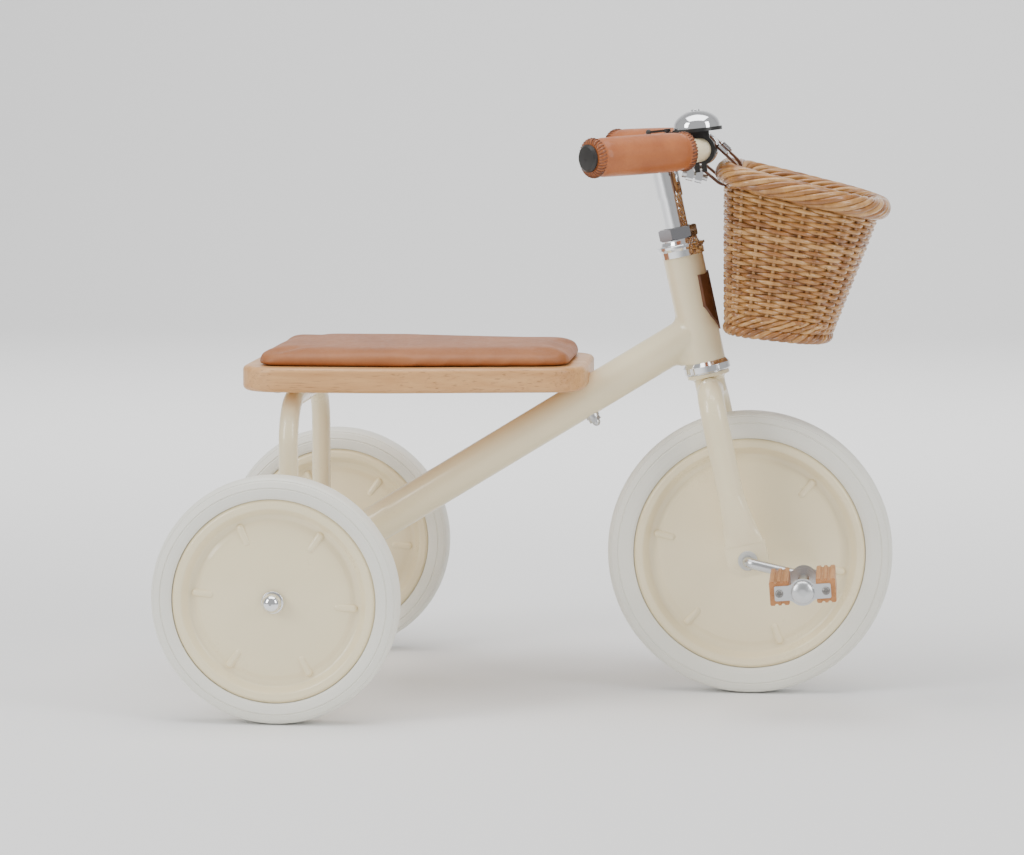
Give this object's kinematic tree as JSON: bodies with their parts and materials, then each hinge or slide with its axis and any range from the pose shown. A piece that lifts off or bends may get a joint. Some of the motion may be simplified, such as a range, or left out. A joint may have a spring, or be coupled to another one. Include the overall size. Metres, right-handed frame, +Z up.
{
  "type": "children's tricycle",
  "caption": "Steel-framed children's tricycle with front-wheel pedals, padded wooden seat, swept handlebar, bell and a wicker basket strapped to the bar.",
  "frame": {"origin": "on the floor, under the middle of the tricycle's length and width", "axes": "+X points forward, +Y to the rider's left, +Z up"},
  "size_m": [0.6734, 0.4526, 0.5561],
  "materials": {
    "cream_paint": "smooth gloss cream powder coat",
    "off_white_tyre": "satin off-white solid rubber",
    "oak": "oiled oak with visible grain",
    "seat_leather": "matt tan-brown leather over padding",
    "grip_leather": "tan leather with whip-stitched ends",
    "brown_leather": "dark brown leather",
    "chrome": "polished chrome plate",
    "zinc_steel": "zinc-plated steel",
    "dark_screw": "darkened steel",
    "nylon": "grey-white nylon",
    "black_plastic": "black moulded plastic",
    "wicker": "varnished golden-brown wicker"
  },
  "bodies": {
    "frame": {"head_tube": "cream_paint", "main_tube": "cream_paint", "rear_axle_tube": "cream_paint", "seat_hoop": "cream_paint", "seat_screws": "zinc_steel", "seat_board": "oak", "seat_cushion": "seat_leather", "seat_bolt": "zinc_steel", "seat_bolt_washer": "zinc_steel", "seat_bolt_nut": "zinc_steel", "upper_head_cup": "chrome", "lower_head_cup": "chrome", "head_badge": "brown_leather", "rear_axle": "zinc_steel", "rear_axle_washers": "zinc_steel", "rear_axle_caps": "chrome"},
    "fork": {"steerer_tube": "chrome", "fork_crown": "cream_paint", "fork_blade_right": "cream_paint", "fork_blade_left": "cream_paint", "head_races": "chrome", "head_bearing_balls": "zinc_steel", "headset_washer": "chrome", "headset_locknut": "chrome", "fork_bushes": "nylon"},
    "stem": {"stem": "chrome", "expander_bolt": "chrome", "expander_wedge": "zinc_steel", "stem_clamp_bolt": "zinc_steel"},
    "handlebar": {"handlebar": "cream_paint", "grip_right": "grip_leather", "grip_left": "grip_leather", "bar_end_plugs": "black_plastic", "bell_base": "black_plastic", "bell_screws": "zinc_steel", "bell_dome": "chrome"},
    "bell_lever": {"bell_lever": "black_plastic"},
    "basket": {"basket_body": "wicker", "basket_rim": "wicker", "basket_straps": "brown_leather", "strap_buckles": "chrome"},
    "front_wheel": {"front_tyre": "off_white_tyre", "front_right_disc": "cream_paint", "front_left_disc": "cream_paint", "front_hub": "zinc_steel", "crank_rod": "zinc_steel"},
    "pedal_right": {"pedal_right_blocks": "oak", "pedal_right_end_plates": "zinc_steel", "pedal_right_screws": "dark_screw"},
    "pedal_left": {"pedal_left_blocks": "oak", "pedal_left_end_plates": "zinc_steel", "pedal_left_screws": "dark_screw"},
    "rear_right_wheel": {"rear_right_tyre": "off_white_tyre", "rear_right_outer_disc": "cream_paint", "rear_right_inner_disc": "cream_paint", "rear_right_hub_bush": "nylon"},
    "rear_left_wheel": {"rear_left_tyre": "off_white_tyre", "rear_left_outer_disc": "cream_paint", "rear_left_inner_disc": "cream_paint", "rear_left_hub_bush": "nylon"}
  },
  "joints": [
    {"name": "steering", "type": "hinge", "parent": "frame", "child": "fork", "pos_m": [0.1468, 0, 0.368], "axis": [-0.2147, 0, 0.9767], "range_deg": [-60, 60]},
    {"name": "stem_height", "type": "slide", "parent": "fork", "child": "stem", "axis": [-0.2147, 0, 0.9767], "range_m": [-0.025, 0.015]},
    {"name": "handlebar_tilt", "type": "hinge", "parent": "stem", "child": "handlebar", "pos_m": [0.1535, 0, 0.5185], "axis": [0, 1, 0], "range_deg": [-12, 12]},
    {"name": "bell_lever_press", "type": "hinge", "parent": "handlebar", "child": "bell_lever", "pos_m": [0.12615, -0.062, 0.51563], "axis": [-0.1045, 0, 0.9945], "range_deg": [0, 20], "stiffness_Nm_per_rad": 0.02},
    {"name": "basket_swing", "type": "hinge", "parent": "stem", "child": "basket", "pos_m": [0.1535, 0, 0.5185], "axis": [0, -1, 0], "range_deg": [0, 35]},
    {"name": "front_wheel_spin", "type": "hinge", "parent": "fork", "child": "front_wheel", "pos_m": [0.2012, 0, 0.1352], "axis": [0, 1, 0], "continuous": true},
    {"name": "pedal_right_spin", "type": "hinge", "parent": "front_wheel", "child": "pedal_right", "pos_m": [0.25382, -0.122, 0.12305], "axis": [0, 1, 0], "continuous": true},
    {"name": "pedal_left_spin", "type": "hinge", "parent": "front_wheel", "child": "pedal_left", "pos_m": [0.14858, 0.122, 0.14735], "axis": [0, 1, 0], "continuous": true},
    {"name": "rear_right_spin", "type": "hinge", "parent": "frame", "child": "rear_right_wheel", "pos_m": [-0.223, -0.1946, 0.114], "axis": [0, 1, 0], "continuous": true},
    {"name": "rear_left_spin", "type": "hinge", "parent": "frame", "child": "rear_left_wheel", "pos_m": [-0.223, 0.1946, 0.114], "axis": [0, 1, 0], "continuous": true}
  ]
}
